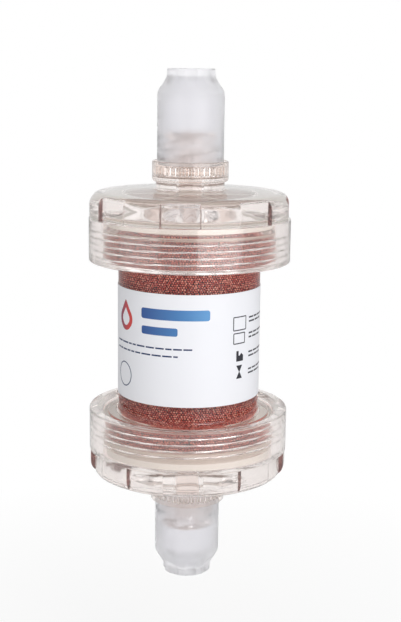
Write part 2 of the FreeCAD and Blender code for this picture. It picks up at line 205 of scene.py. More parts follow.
def spin(piece, steps):
    """Spin the outline about the axis into a closed skin with its faces outwards."""
    edit(piece)
    bpy.ops.mesh.delete(type="ONLY_FACE")
    bpy.ops.object.mode_set(mode="OBJECT")
    edit(piece, "edges", lambda edge: all(radius < NEAR for radius, _ in ends(piece, edge)))
    bpy.ops.mesh.delete(type="EDGE")
    bpy.ops.object.mode_set(mode="OBJECT")
    bpy.ops.object.modifier_add(type="SCREW")
    turning = piece.modifiers[-1]
    turning.steps = steps
    turning.render_steps = steps
    turning.use_merge_vertices = True
    turning.merge_threshold = NEAR * MM
    bpy.ops.object.modifier_apply(modifier=turning.name)
    edit(piece)
    bpy.ops.mesh.remove_doubles(threshold=NEAR * MM)
    bpy.ops.mesh.normals_make_consistent(inside=False)
    bpy.ops.object.mode_set(mode="OBJECT")
    print(f"{piece.name} spun in {steps} steps")


# %% [markdown]
# A thread is a ridge or a groove that climbs as it goes round. A Screw modifier with a climb could wind the
# ridge as a body of its own, but it would only lie on the wall. So once a piece is spun, every vertex of
# its threaded wall is moved out or in by a share of the thread's height, which depends on where the vertex
# is between two turns, and the skin stays whole. A vertex belongs to the wall if its radius is that of the
# wall, give or take WALL_REACH. The ridge fades out at both ends, as a moulded thread does. All threads
# here are right-handed, and such a thread stays right-handed when the piece is turned over, so both ends
# can use the same rule.

# %% Press a thread into a wall
WALL_REACH = 0.02


def smooth_step(value):
    """0 below 0, 1 above 1, and a smooth rise between them."""
    value = min(1.0, max(0.0, value))
    return value * value * (3 - 2 * value)


def press_thread(piece, wall, height, lead, starts, zone, run_out, crest, flank, start_angle=0.0):
    """Move the wall of this radius out by the thread's height, or in if it is below 0, in mm and degrees.

    Crest and flank are lengths along the axis, and zone is the lowest and highest point of the thread."""
    pitch = lead / starts
    low, high = zone
    for vertex in piece.data.vertices:
        radius = math.hypot(vertex.co.x, vertex.co.y) / MM
        level = vertex.co.z / MM
        if abs(radius - wall) > WALL_REACH or not low < level < high:
            continue
        angle = math.atan2(vertex.co.y, vertex.co.x) - math.radians(start_angle)
        turns = starts * (level / lead - angle / FULL_TURN)
        from_crest = abs(turns - round(turns)) * pitch
        share = 1 - smooth_step((from_crest - crest / 2) / flank)
        fade = smooth_step((level - low) / run_out) * smooth_step((high - level) / run_out)
        scale = 1 + height * share * fade / radius
        vertex.co.x *= scale
        vertex.co.y *= scale
    piece.data.update()


# %% [markdown]
# When its shape is done, a piece is shaded smooth up to a sharp edge, gets its finish, is hung on the part
# of the model it rides on, and hides the solids of the imported model that it stands for.
# The lower end is the upper end turned over, so its pieces are copies with a mesh of their own, and the
# turn is applied at once, which leaves the object itself at the origin.

# %% Finish and turn over a piece
SHARP = math.radians(32)


def finish_piece(piece, material, body, slot, *nodes):
    """Smooth shading, finish and place of a piece in the model."""
    activate(piece)
    bpy.ops.object.shade_smooth_by_angle(angle=SHARP)
    piece.data.materials.clear()
    piece.data.materials.append(material)
    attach(piece, body)
    if nodes:
        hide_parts(*nodes)
    deselect_all()
    print(f"{piece.name}: {len(piece.data.polygons)} faces")


def turned_copy(piece, name, over, angle=0.0, climb=0.0):
    """A copy, turned over about X if asked, turned about the axis and moved along it, in degrees and mm."""
    activate(piece)
    bpy.ops.object.duplicate()
    copy = bpy.context.object
    copy.name = name
    copy.data.name = name
    copy.rotation_euler = (math.pi if over else 0, 0, math.radians(angle))
    copy.location.z = climb * MM
    bpy.ops.object.transform_apply(location=True, rotation=True, scale=True)
    return copy


def remove_piece(piece):
    """Take away a piece that was only a pattern for its copies."""
    bpy.data.objects.remove(piece)


def finish_faces(piece, material, wanted):
    """Give the faces that are wanted, by the radius and height of their middle in mm, another finish."""
    piece.data.materials.append(material)
    last = len(piece.data.materials) - 1
    for face in piece.data.polygons:
        if wanted(face.center.to_2d().length / MM, abs(face.center.z) / MM):
            face.material_index = last


# %% [markdown]
# A finish is a small graph of nodes that ends in a shader. The same few steps come back in every finish: a
# noise, a value spread over a range, a sum, a row of colours. Each is a function that adds its nodes and
# returns the socket with the result, so that a finish reads like a recipe.

# %% Steps that start a finish


def start_material(name):
    """A new material with its nodes, its links, its shader and coordinates on the object."""
    material = bpy.data.materials.new(name)
    material.use_nodes = True
    nodes = material.node_tree.nodes
    links = material.node_tree.links
    shader = nodes["Principled BSDF"]
    place = nodes.new("ShaderNodeTexCoord").outputs["Object"]
    print(f"finish {name}")
    return material, nodes, links, shader, place


def noise_at(nodes, links, place, scale, detail=2.0):
    """A noise texture on the given coordinates, with its scale in waves per metre."""
    noise = nodes.new("ShaderNodeTexNoise")
    noise.inputs["Scale"].default_value = scale
    noise.inputs["Detail"].default_value = detail
    links.new(place, noise.inputs["Vector"])
    return noise.outputs["Fac"]


def spread(nodes, links, value, low, high, start=0, end=1):
    """Spread a value that goes from start to end over low to high."""
    span = nodes.new("ShaderNodeMapRange")
    span.inputs["From Min"].default_value = start
    span.inputs["From Max"].default_value = end
    span.inputs["To Min"].default_value = low
    span.inputs["To Max"].default_value = high
    links.new(value, span.inputs["Value"])
    return span.outputs["Result"]


def calculate(nodes, links, operation, *values):
    """A sum of numbers and of other nodes' results."""
    step = nodes.new("ShaderNodeMath")
    step.operation = operation
    for value, socket in zip(values, step.inputs):
        if isinstance(value, (int, float)):
            socket.default_value = value
        else:
            links.new(value, socket)
    return step.outputs["Value"]


def length_of(nodes, links, vector):
    """The length of a vector."""
    measure = nodes.new("ShaderNodeVectorMath")
    measure.operation = "LENGTH"
    links.new(vector, measure.inputs[0])
    return measure.outputs["Value"]


# %% [markdown]
# The other steps end at the shader. They colour it by a value, give it a bump, or mix it with a second one.

# %% Steps that end at the shader


def colour_by(nodes, links, shader, value, *stops):
    """Colour a shader by a value, through stops that are each a value and a colour."""
    ramp = nodes.new("ShaderNodeValToRGB")
    elements = ramp.color_ramp.elements
    elements[0].color = stops[0][1]
    elements[1].position = stops[-1][0]
    elements[1].color = stops[-1][1]
    for position, colour in stops[1:-1]:
        elements.new(position).color = colour
    links.new(value, ramp.inputs["Fac"])
    links.new(ramp.outputs["Color"], shader.inputs["Base Color"])


def bump_from(nodes, links, shader, height, depth):
    """Bump of this depth in mm on the shader."""
    bump = nodes.new("ShaderNodeBump")
    bump.inputs["Distance"].default_value = depth * MM
    links.new(height, bump.inputs["Height"])
    links.new(bump.outputs["Normal"], shader.inputs["Normal"])


def mix_surface(nodes, links, share, first, second):
    """Show the second shader by this share, and the first for the rest."""
    mix = nodes.new("ShaderNodeMixShader")
    links.new(share, mix.inputs["Fac"])
    links.new(first, mix.inputs[1])
    links.new(second, mix.inputs[2])
    links.new(mix.outputs["Shader"], nodes["Material Output"].inputs["Surface"])


# %% [markdown]
# The clear parts are polycarbonate with a faint warm tint. Real transparent mouldings are never perfectly
# flat: their faces are a little wavy from shrinkage, which bends the reflections, so a broad, weak noise goes
# into the bump. A finer noise varies the roughness between polished and faintly hazed.
#
# The cartridge is shipped filled with salt solution, which wets the beads and the inner walls. There is no
# need for a body of water: a wet wall gets the plastic's refraction divided by that of water, and so does
# all that lies in the water. The light then takes the same way, and far less is thrown back at the walls.
# Where two clear parts are bonded, light goes straight on, so their shared face has a refraction of one.
#
# Lamps can't shine through bent surfaces without a lot of grain, so for shadow rays and for light that was
# scattered inside, the plastic counts as a tinted pane that bends nothing. This lights what is inside.

# %% Make the clear plastic
CLEAR_TINT = (0.918, 0.855, 0.83, 1)
PANE_TINT = (0.97, 0.955, 0.94, 1)
NO_TINT = (1, 1, 1, 1)
CLEAR_IOR = 1.585
WATER_IOR = 1.333


def let_light_in(material, tint):
    """Let lamps and scattered light pass straight through the surface, tinted."""
    nodes = material.node_tree.nodes
    links = material.node_tree.links
    rays = nodes.new("ShaderNodeLightPath").outputs
    passing = calculate(nodes, links, "MAXIMUM", rays["Is Shadow Ray"], rays["Is Diffuse Ray"])
    pane = nodes.new("ShaderNodeBsdfTransparent")
    pane.inputs["Color"].default_value = tint
    mix_surface(nodes, links, passing, nodes["Principled BSDF"].outputs["BSDF"], pane.outputs["BSDF"])


def clear_plastic(name, waviness, tint=CLEAR_TINT, haze_range=(0.01, 0.05), ior=CLEAR_IOR):
    """Polished clear plastic whose faces wave by this many mm."""
    material, nodes, links, shader, place = start_material(name)
    let_light_in(material, PANE_TINT)
    shader.inputs["Base Color"].default_value = tint
    shader.inputs["Transmission Weight"].default_value = 1
    shader.inputs["IOR"].default_value = ior
    haze = noise_at(nodes, links, place, 900, 3)
    links.new(spread(nodes, links, haze, *haze_range), shader.inputs["Roughness"])
    bump_from(nodes, links, shader, noise_at(nodes, links, place, 220), waviness)
    return material


def bond(name):
    """The shared face of two clear parts, which neither bends light nor throws it back."""
    material, nodes, links, shader, place = start_material(name)
    let_light_in(material, PANE_TINT)
    shader.inputs["Base Color"].default_value = NO_TINT
    shader.inputs["Transmission Weight"].default_value = 1
    shader.inputs["Roughness"].default_value = 0
    shader.inputs["IOR"].default_value = 1
    return material


# %% [markdown]
# Each moulding has its own mix of that plastic. The lids have a thin coat that is rougher than the plastic
# under it, because their shoulders catch the light in broad, soft patches. The steep side walls of their
# grip pockets get a dark red tint, which paints the reflection of the beads inside that these walls throw
# back, so that they stand out as dark red bars.

# %% Mix the clear finishes
PORT_TINT = (0.93, 0.872, 0.84, 1)
# A dark red tint that paints the reflection of the beads on the steep pocket walls.
PAINTED_REFLECTION_TINT = (0.26, 0.13, 0.12, 1)

barrel_plastic = clear_plastic("clear_barrel", 0.03)
lid_plastic = clear_plastic("clear_lid", 0.05, haze_range=(0.03, 0.08))
lid_shader = lid_plastic.node_tree.nodes["Principled BSDF"]
lid_shader.inputs["Transmission Weight"].default_value = 0.98
lid_shader.inputs["Coat Weight"].default_value = 0.4
lid_shader.inputs["Coat IOR"].default_value = 1.5
lid_shader.inputs["Coat Roughness"].default_value = 0.27
# The plastic of the pocket walls carries that painted reflection.
painted_reflection_plastic = clear_plastic("clear_lid_pocket_walls_painted_reflection", 0.05, PAINTED_REFLECTION_TINT, (0.1, 0.2))
port_plastic = clear_plastic("clear_port", 0.03, PORT_TINT, (0.06, 0.12))
wet_plastic = clear_plastic("clear_wet_wall", 0.03, ior=CLEAR_IOR / WATER_IOR)
bonded_plastic = bond("clear_bond")
print(f"a wet wall bends light as if its refraction were {CLEAR_IOR / WATER_IOR:.2f}")

# %% [markdown]
# The barrel is one moulding: a tube with a flange on each end that carries the fine thread of the lid. Both
# halves of its section are alike, so the lower half of the outline is the upper half mirrored in order.

# %% Build the barrel
TUBE_OUTER = 17.7
TUBE_BORE = 16.1
FLANGE_FACE = barrel_end - 8.1
FLANGE_STEP = 20.4
FLANGE_ROOT = 0.7
END_CHAMFER = 0.8
THREAD_START = FLANGE_FACE + 0.6
THREAD_END = barrel_end - END_CHAMFER
COUNTERBORE = screen_radius + 0.1
FINE_PITCH = 1.5
FINE_RIDGE = 0.28
FINE_CREST = 0.06
FINE_FLANK = 0.17
FINE_RUN_OUT = 0.5
FINE_MARGIN = 0.1
ROWS_PER_TURN = 28
ROUND_STEPS = 160
UPPER_LID_ANGLE = -4.6
LOWER_LID_ANGLE = -24.4

upper_half = [
    (TUBE_OUTER, FLANGE_FACE - FLANGE_ROOT, 0.9),
    (TUBE_OUTER + FLANGE_ROOT, FLANGE_FACE, 0.25),
    (FLANGE_STEP, FLANGE_FACE, 0.2),
    (FLANGE_STEP, THREAD_START, 0.1),
    (flange_radius, THREAD_START, 0.15),
    (flange_radius, THREAD_END, 0.1),
    (flange_radius - END_CHAMFER, barrel_end, 0.1),
    (COUNTERBORE, barrel_end, 0.1),
    (COUNTERBORE, screen_bottom),
    (TUBE_BORE, screen_bottom, 0.1),
]
lower_half = [(corner[0], -corner[1], *corner[2:]) for corner in reversed(upper_half)]
barrel = draw_outline("barrel_shell", upper_half + lower_half)
thread_rows = round((THREAD_END - THREAD_START) / FINE_PITCH * ROWS_PER_TURN)
for side in (1, -1):
    zone = sorted((side * THREAD_START, side * THREAD_END))
    divide(barrel, flange_radius, *zone, thread_rows)
spin(barrel, ROUND_STEPS)
for side, start_angle in ((1, UPPER_LID_ANGLE), (-1, LOWER_LID_ANGLE)):
    zone = sorted((side * (THREAD_START + FINE_MARGIN), side * (THREAD_END - FINE_MARGIN)))
    press_thread(barrel, flange_radius, FINE_RIDGE, FINE_PITCH, 1, zone, FINE_RUN_OUT, FINE_CREST,
                 FINE_FLANK, start_angle)
finish_piece(barrel, barrel_plastic, "cartridge", "clear_shell", "barrel")
finish_faces(barrel, wet_plastic, lambda radius, height: radius < COUNTERBORE + WALL_REACH)

# %% [markdown]
# The lid is the hardest moulding. Its section holds a threaded skirt, a shallow header chamber that spreads
# the blood over the beads, a rounded shoulder and a boss for the port. It is spun first, as if it were round
# all over, with its fine thread inside, and its eight grip pockets are sunk into the rim after that.

# %% Spin the lid
LID_BORE = flange_radius + 0.2
LID_LAND = lid_radius - 0.2
SHOULDER = seal_top + 6.5
NECK_FOOT = SHOULDER + 0.6
NECK_RADIUS = 8.45
BOSS_BORE = 6.05
HEADER_RADIUS = TUBE_BORE - 0.2
HEADER_WALL = 0.8
LEAD_IN = 1.3
LEAD_IN_HEIGHT = 0.9
GRIP_START = SHOULDER - 6.3

lid = draw_outline("lid_pattern", [
    (LID_BORE + LEAD_IN, lid_rim, 0.2),
    (lid_radius, lid_rim, 0.4),
    (lid_radius, GRIP_START, 0.12),
    (LID_LAND, GRIP_START),
    (LID_LAND, SHOULDER, 3.0),
    (NECK_RADIUS, NECK_FOOT, 1.2),
    (NECK_RADIUS, bond_line, 0.1),
    (BOSS_BORE, bond_line),
    (BOSS_BORE, spigot_end, 0.2),
    (HEADER_RADIUS, seal_top + HEADER_WALL, 0.5),
    (HEADER_RADIUS, seal_top, 0.1),
    (LID_BORE, seal_top, 0.3),
    (LID_BORE, lid_rim + LEAD_IN_HEIGHT, 0.3),
])
thread_rows = round((seal_top - lid_rim - FINE_PITCH) / FINE_PITCH * ROWS_PER_TURN)
divide(lid, LID_BORE, lid_rim + LEAD_IN_HEIGHT, seal_top, thread_rows)
spin(lid, ROUND_STEPS)
zone = (THREAD_START + FINE_MARGIN, THREAD_END - FINE_MARGIN)
press_thread(lid, LID_BORE, FINE_RIDGE, FINE_PITCH, 1, zone, FINE_RUN_OUT, FINE_CREST, FINE_FLANK)

# %% [markdown]
# A pocket has a floor of constant radius, so every vertex inside it that lies further out is pressed in to
# that radius. A Boolean cut could take the pockets out too, but it would leave long, thin faces across the
# rounded shoulder, and those shade badly. The vertices next to a pocket's edge are first moved up to it,
# which makes its side walls steep.

# %% Sink the grip pockets
POCKET_FLOOR = lid_radius - 1.25
POCKET_COUNT = 8
POCKET_HALF = math.radians(11.25)
WALL_DRAFT = math.radians(0.35)
POCKET_START = GRIP_START - 0.005


def press_pockets(piece):
    """Sink the grip pockets into the lid's rim."""
    pocket_step = FULL_TURN / POCKET_COUNT
    column_step = FULL_TURN / ROUND_STEPS
    for vertex in piece.data.vertices:
        radius = math.hypot(vertex.co.x, vertex.co.y)
        if vertex.co.z < POCKET_START * MM or radius < POCKET_FLOOR * MM:
            continue
        angle = math.atan2(vertex.co.y, vertex.co.x)
        centre = round(angle / pocket_step) * pocket_step
        off_centre = angle - centre
        if abs(off_centre) > POCKET_HALF - column_step / 2:
            continue
        if abs(off_centre) > POCKET_HALF - 1.5 * column_step:
            off_centre = math.copysign(POCKET_HALF - WALL_DRAFT, off_centre)
        radius = min(radius, POCKET_FLOOR * MM)
        vertex.co.x = radius * math.cos(centre + off_centre)
        vertex.co.y = radius * math.sin(centre + off_centre)
    piece.data.update()


press_pockets(lid)
print(f"{POCKET_COUNT} pockets, {lid_radius - POCKET_FLOOR:.2f} mm deep")

# %% [markdown]
# The lower lid is the upper one turned over. Each was screwed on until its thread was tight, so each has an
# angle of its own. Inside, a lid is wet round its header chamber and bonded to the port in its boss, and
# those faces get the finish for that, as the steep walls of the pockets get the painted reflection of the
# beads.

# %% Finish the lids
STEEP = 0.8
WALLS_START = GRIP_START - 0.1
BOSS_EDGE = 0.1


def paint_reflection_on_pocket_walls(piece):
    """Give the steep side walls of the pockets the plastic with the painted reflection of the beads."""
    piece.data.materials.append(painted_reflection_plastic)
    for face in piece.data.polygons:
        out = Vector((face.center.x, face.center.y, 0)).normalized()
        across = abs(face.normal.cross(out).z)
        if across > STEEP and abs(face.center.z) > WALLS_START * MM:
            if POCKET_FLOOR * MM < face.center.to_2d().length:
                face.material_index = 1


def in_header(radius, height):
    """Where the lid is wet."""
    return radius < HEADER_RADIUS + WALL_REACH and height < spigot_end


def in_boss(radius, height):
    """Where the lid is bonded to the port."""
    return radius < BOSS_BORE + WALL_REACH and height > spigot_end + BOSS_EDGE


upper_lid = turned_copy(lid, "upper_lid_shell", over=False, angle=UPPER_LID_ANGLE)
lower_lid = turned_copy(lid, "lower_lid_shell", over=True, angle=LOWER_LID_ANGLE)
remove_piece(lid)
finish_piece(upper_lid, lid_plastic, "cartridge", "clear_shell", "upper_lid")
finish_piece(lower_lid, lid_plastic, "cartridge", "clear_shell", "lower_lid")
for shell in (upper_lid, lower_lid):
    paint_reflection_on_pocket_walls(shell)
    finish_faces(shell, wet_plastic, in_header)
    finish_faces(shell, bonded_plastic, in_boss)

# %% [markdown]
# The blood port is bonded into the lid's boss. A cup-like collar with small ribs inside it takes the cap's
# hem, and the tube above it carries the wide double thread that every blood line's nut fits, with a conical
# socket inside. The thread is the wall between two grooves, so here the pressing goes inwards.

# %% Spin the port
LUMEN = 2.2
BOND = 0.02
SPIGOT = BOSS_BORE + BOND
COLLAR_TOP = bond_line + 5.05
COLLAR_FLOOR = bond_line + 1.1
CUP = 8.75
PORT_NECK = 5.6
PORT_CREST = 6.6
PORT_NECK_END = COLLAR_FLOOR + 1.6
PORT_THREAD_START = PORT_NECK_END + 1.0
PORT_CHAMFER = 0.6
PORT_THREAD_END = port_rim - PORT_CHAMFER
GROOVE_DEPTH = PORT_CREST - PORT_NECK
GROOVE_WIDTH = 1.7
GROOVE_FLANK = 0.5
GROOVE_RUN_OUT = 0.8
GROOVE_ROWS = 32
SOCKET_MOUTH = 3.17
SOCKET_END = 2.9
SOCKET_FLOOR = port_rim - 9.0
RIB_FOOT = COLLAR_FLOOR + 0.7
RIB_TOP = RIB_FOOT + 2.0
RIB_SLOPE = 0.1
PORT_LEAD = 8.0
PORT_STARTS = 2
PORT_STEPS = 360

port = draw_outline("port_pattern", [
    (LUMEN + 1.0, spigot_end, 0.2),
    (SPIGOT, spigot_end, 0.3),
    (SPIGOT, bond_line - BOND),
    (collar_radius, bond_line - BOND, 0.75),
    (collar_radius, COLLAR_TOP, 0.3),
    (CUP, COLLAR_TOP, 0.2),
    (CUP, RIB_TOP + RIB_SLOPE),
    (CUP, RIB_TOP - RIB_SLOPE),
    (CUP, RIB_FOOT + RIB_SLOPE),
    (CUP, RIB_FOOT - RIB_SLOPE),
    (CUP, COLLAR_FLOOR, 0.5),
    (PORT_NECK, COLLAR_FLOOR, 0.4),
    (PORT_NECK, PORT_NECK_END, 0.3),
    (PORT_CREST, PORT_THREAD_START, 0.3),
    (PORT_CREST, PORT_THREAD_END, 0.2),
    (PORT_CREST - PORT_CHAMFER, port_rim, 0.2),
    (SOCKET_MOUTH, port_rim, 0.2),
    (SOCKET_END, SOCKET_FLOOR),
    (LUMEN, SOCKET_FLOOR),
    (LUMEN, spigot_end + 1.0, 0.2),
])
divide(port, PORT_CREST, PORT_THREAD_START, PORT_THREAD_END, GROOVE_ROWS)
spin(port, PORT_STEPS)
zone = (PORT_THREAD_START, PORT_THREAD_END)
press_thread(port, PORT_CREST, -GROOVE_DEPTH, PORT_LEAD, PORT_STARTS, zone, GROOVE_RUN_OUT, GROOVE_WIDTH,
             GROOVE_FLANK)

# %% [markdown]
# The ribs stand in from the collar's wall, so their vertices are pressed towards the axis. The finished port
# is wet inside its lumen and bonded all round its spigot, and those faces get the finishes for that.

# %% Raise the ribs and finish the ports
RIB_RADIUS = 8.4
RIB_COUNT = 36
RIB_HALF = math.radians(2.2)
SPIGOT_EDGE = 0.15
SPIGOT_REACH = 0.05
LUMEN_REACH = 0.3


def press_ribs(piece):
    """Raise the ribs inside the collar."""
    rib_step = FULL_TURN / RIB_COUNT
    for vertex in piece.data.vertices:
        radius = math.hypot(vertex.co.x, vertex.co.y) / MM
        height = vertex.co.z / MM
        angle = math.atan2(vertex.co.y, vertex.co.x)
        off_centre = abs(angle - round(angle / rib_step) * rib_step)
        if abs(radius - CUP) < WALL_REACH and RIB_FOOT < height < RIB_TOP and off_centre < RIB_HALF:
            vertex.co.x *= RIB_RADIUS / radius
            vertex.co.y *= RIB_RADIUS / radius
    piece.data.update()


press_ribs(port)
upper_port = turned_copy(port, "upper_port_shell", over=False)
lower_port = turned_copy(port, "lower_port_shell", over=True)
remove_piece(port)
finish_piece(upper_port, port_plastic, "cartridge", "clear_shell", "upper_port")
finish_piece(lower_port, port_plastic, "cartridge", "clear_shell", "lower_port")


def in_lumen(radius, height):
    """Where the port is wet."""
    inside = radius < LUMEN + LUMEN_REACH and height < SOCKET_FLOOR - SLACK
    return inside or height < spigot_end + SPIGOT_EDGE


def on_spigot(radius, height):
    """Where the port is bonded to the lid."""
    on_wall = abs(radius - SPIGOT) < SPIGOT_REACH
    return on_wall and spigot_end + SPIGOT_EDGE < height < bond_line - 2 * BOND


for shell in (upper_port, lower_port):
    finish_faces(shell, wet_plastic, in_lumen)
    finish_faces(shell, bonded_plastic, on_spigot)

# %% [markdown]
# The caps are milky polyethylene: light goes into the wall, scatters, and comes out on the other side, so
# the port shows through as a warm shade. Most of the shader is a rough transmission and the rest is a plain
# diffuse body, which is a cheap and steady way to get that look in a thin wall. Subsurface scattering could
# do it too, but it takes far more samples to come out without grain.

# %% Make the milky plastic
MILKY_COLOUR = (0.93, 0.925, 0.95, 1)
MILKY_PANE = (0.8, 0.8, 0.8, 1)


def milky_plastic(name):
    """Milky, softly translucent plastic with a satin surface."""
    material, nodes, links, shader, place = start_material(name)
    let_light_in(material, MILKY_PANE)
    shader.inputs["Base Color"].default_value = MILKY_COLOUR
    shader.inputs["Transmission Weight"].default_value = 0.85
    shader.inputs["IOR"].default_value = 1.3
    satin = noise_at(nodes, links, place, 700, 3)
    links.new(spread(nodes, links, satin, 0.3, 0.34), shader.inputs["Roughness"])
    bump_from(nodes, links, shader, noise_at(nodes, links, place, 300), 0.008)
    return material


cap_plastic = milky_plastic("milky_cap")

# %% [markdown]
# A cap is a tall cup with a thread inside and a narrow closed end. The outline of that end is cut finer than
# the rest, because the scoops that come later need vertices to press in.

# %% Spin the cap
CAP_BORE = 6.85
CAP_NOSE = 6.05
NOSE_START = cap_end - 1.9
TAPER_START = NOSE_START - 3.7
BORE_STOP = TAPER_START - 1.6
HOLLOW_END = cap_end - 2.2
HOLLOW_RADIUS = CAP_NOSE - 2.25
CAP_LEAD_IN = 0.3
CAP_THREAD_DEPTH = 0.35
CAP_CREST = 1.5
CAP_FLANK = 0.9
CAP_RUN_OUT = 1.2
CAP_ROWS = 48
NOSE_INSIDE = CAP_NOSE - 1.2
CAP_STEPS = 192

cap = draw_outline("cap_pattern", [
    (0, cap_end),
    (CAP_NOSE, cap_end, 0.5),
    (CAP_NOSE, NOSE_START, 0.6),
    (cap_radius, TAPER_START, 2.0),
    (cap_radius, cap_hem, 0.3),
    (CAP_BORE + CAP_LEAD_IN, cap_hem, 0.1),
    (CAP_BORE, cap_hem + CAP_LEAD_IN, 0.1),
    (CAP_BORE, BORE_STOP, 0.6),
    (HOLLOW_RADIUS, HOLLOW_END, 0.6),
    (0, HOLLOW_END),
])
divide(cap, CAP_BORE, cap_hem + CAP_LEAD_IN, BORE_STOP, CAP_ROWS)


def on_outer_nose(edge):
    """Outer edges of the outline where the scoops will be cut."""
    return all(height > TAPER_START and radius > NOSE_INSIDE for radius, height in ends(cap, edge))


for _ in range(2):
    edit(cap, "edges", on_outer_nose)
    bpy.ops.mesh.subdivide(number_cuts=1)
    bpy.ops.object.mode_set(mode="OBJECT")
spin(cap, CAP_STEPS)
zone = (cap_hem + 1.0, port_rim - 0.5)
press_thread(cap, CAP_BORE, CAP_THREAD_DEPTH, PORT_LEAD, PORT_STARTS, zone, CAP_RUN_OUT, CAP_CREST, CAP_FLANK)

# %% [markdown]
# Eight scoops round the narrow end give the fingers a grip. Each scoop is cut by a round-nosed tool that
# stands beside the cap, so a vertex inside the tool is pressed in to the tool's surface, which has a simple
# formula for every angle and height.

# %% Cut the scoops and finish the caps
SCOOP_COUNT = 8
SCOOP_RADIUS = 3.5
SCOOP_AXIS = CAP_NOSE - 0.55 + SCOOP_RADIUS
SCOOP_BALL = cap_end - 1.2
SCOOP_REACH = CAP_NOSE - 1.5
LOWER_CAP_ANGLE = 10.5


def press_scoops(piece):
    """Cut the scoops into the narrow end."""
    scoop_step = FULL_TURN / SCOOP_COUNT
    for vertex in piece.data.vertices:
        radius = math.hypot(vertex.co.x, vertex.co.y) / MM
        height = vertex.co.z / MM
        if height < SCOOP_BALL - SCOOP_RADIUS or radius < SCOOP_REACH:
            continue
        angle = math.atan2(vertex.co.y, vertex.co.x)
        off_centre = angle - round(angle / scoop_step) * scoop_step
        below_ball = max(0, SCOOP_BALL - height)
        reach = SCOOP_RADIUS ** 2 - below_ball ** 2 - (SCOOP_AXIS * math.sin(off_centre)) ** 2
        if reach <= 0:
            continue
        pressed = min(radius, SCOOP_AXIS * math.cos(off_centre) - math.sqrt(reach))
        vertex.co.x *= pressed / radius
        vertex.co.y *= pressed / radius
    piece.data.update()


press_scoops(cap)
upper_cap = turned_copy(cap, "upper_cap_shell", over=False)
cap_climb = lower_cap_end + cap_end
lower_cap = turned_copy(cap, "lower_cap_shell", over=True, angle=LOWER_CAP_ANGLE, climb=cap_climb)
remove_piece(cap)
finish_piece(upper_cap, cap_plastic, "upper_cap", "milky_cap", "upper_cap")
finish_piece(lower_cap, cap_plastic, "lower_cap", "milky_cap", "lower_cap")

# %% [markdown]
# The bed is packed with red-brown beads about half a millimetre across. Where the tube is bare, the layer
# that lies against its wall will be made of real beads. Their colour follows the distance from the axis: a
# painted highlight where a bead touches the wall and painted shade in the gap to its neighbours. Each bead
# also has a tone of its own, which it carries as an attribute.

# %% Make the finish of the beads
BEAD = 0.6
BEAD_DEPTH = 0.34
# Painted shade for the gaps between the beads, and for the cell edges of the core.
PAINTED_GAP_SHADE = (0.012, 0.001, 0.001, 1)
BEAD_COLOUR = (0.50, 0.03, 0.02, 1)
# A painted highlight on each bead where it touches the wall.
PAINTED_TIP_HIGHLIGHT = (1.0, 0.52, 0.40, 1)
WET_IOR = 1.15


def wet_finish(name):
    """The start of a satin material that lies in water."""
    material, nodes, links, shader, place = start_material(name)
    shader.inputs["Roughness"].default_value = 0.3
    shader.inputs["IOR"].default_value = WET_IOR
    return material, nodes, links, shader, place


def bead_finish():
    """Beads with a painted highlight where they touch the wall and painted shade in the gaps, each with its
    own tone.
    """
    material, nodes, links, shader, place = wet_finish("sorbent_beads")
    flat = nodes.new("ShaderNodeVectorMath")
    flat.operation = "MULTIPLY"
    flat.inputs[1].default_value = (1, 1, 0)
    links.new(place, flat.inputs[0])
    from_axis = length_of(nodes, links, flat.outputs["Vector"])
    painted_light_near_wall = spread(nodes, links, from_axis, 0, 1, (TUBE_BORE - BEAD_DEPTH) * MM, TUBE_BORE * MM)
    own_shade = nodes.new("ShaderNodeAttribute")
    own_shade.attribute_name = "shade"
    shade = calculate(nodes, links, "MULTIPLY", painted_light_near_wall, own_shade.outputs["Fac"])
    # Painted shade deep in the gaps and a painted highlight at the tips, by distance from the axis.
    colour_by(nodes, links, shader, shade, (0, PAINTED_GAP_SHADE), (0.5, BEAD_COLOUR), (1, PAINTED_TIP_HIGHLIGHT))
    return material


bead_material = bead_finish()

# %% [markdown]
# Nobody sees the beads behind that layer or behind the label one by one, so one round body with a cell
# texture of the same grain is enough there, with painted shade at the cell edges.

# %% Turn the core of the bed
CORE_RADIUS = TUBE_BORE - BEAD * 0.7
CORE_STEPS = 128


def core_finish():
    """The bed behind the outer layer, with the beads as a pattern and painted shade between them."""
    material, nodes, links, shader, place = wet_finish("sorbent_core")
    cells = nodes.new("ShaderNodeTexVoronoi")
    cells.inputs["Scale"].default_value = 1 / (BEAD * MM)
    links.new(place, cells.inputs["Vector"])
    off_centre = cells.outputs["Distance"]
    # Darker towards the cell edges: painted shade between the beads of the pattern.
    colour_by(nodes, links, shader, off_centre, (0, BEAD_COLOUR), (0.6, PAINTED_GAP_SHADE))
    bump_from(nodes, links, shader, calculate(nodes, links, "SUBTRACT", 1, off_centre), BEAD / 2)
    return material


core = draw_outline("bead_core", [
    (0, bed_bottom),
    (CORE_RADIUS, bed_bottom),
    (CORE_RADIUS, bed_top),
    (0, bed_top),
])
spin(core, CORE_STEPS)
finish_piece(core, core_finish(), "cartridge", "sorbent", "sorbent_bed")

# %% [markdown]
# What repeats round the tube or along it is copied by an Array modifier, whose steps lead to an empty: it
# stands where the second copy belongs, turned and raised by one step.

# %% Copy round and along the tube


def copy_along(piece, count, turn, climb):
    """Copy a piece along the tube, each copy turned (in radians) and raised (in mm) from the one before."""
    deselect_all()
    bpy.ops.object.empty_add(location=(0, 0, climb * MM), rotation=(0, 0, turn))
    guide = bpy.context.object
    activate(piece)
    bpy.ops.object.modifier_add(type="ARRAY")
    row = piece.modifiers[-1]
    row.count = count
    row.use_relative_offset = False
    row.use_object_offset = True
    row.offset_object = guide
    bpy.ops.object.modifier_apply(modifier=row.name)
    bpy.data.objects.remove(guide)


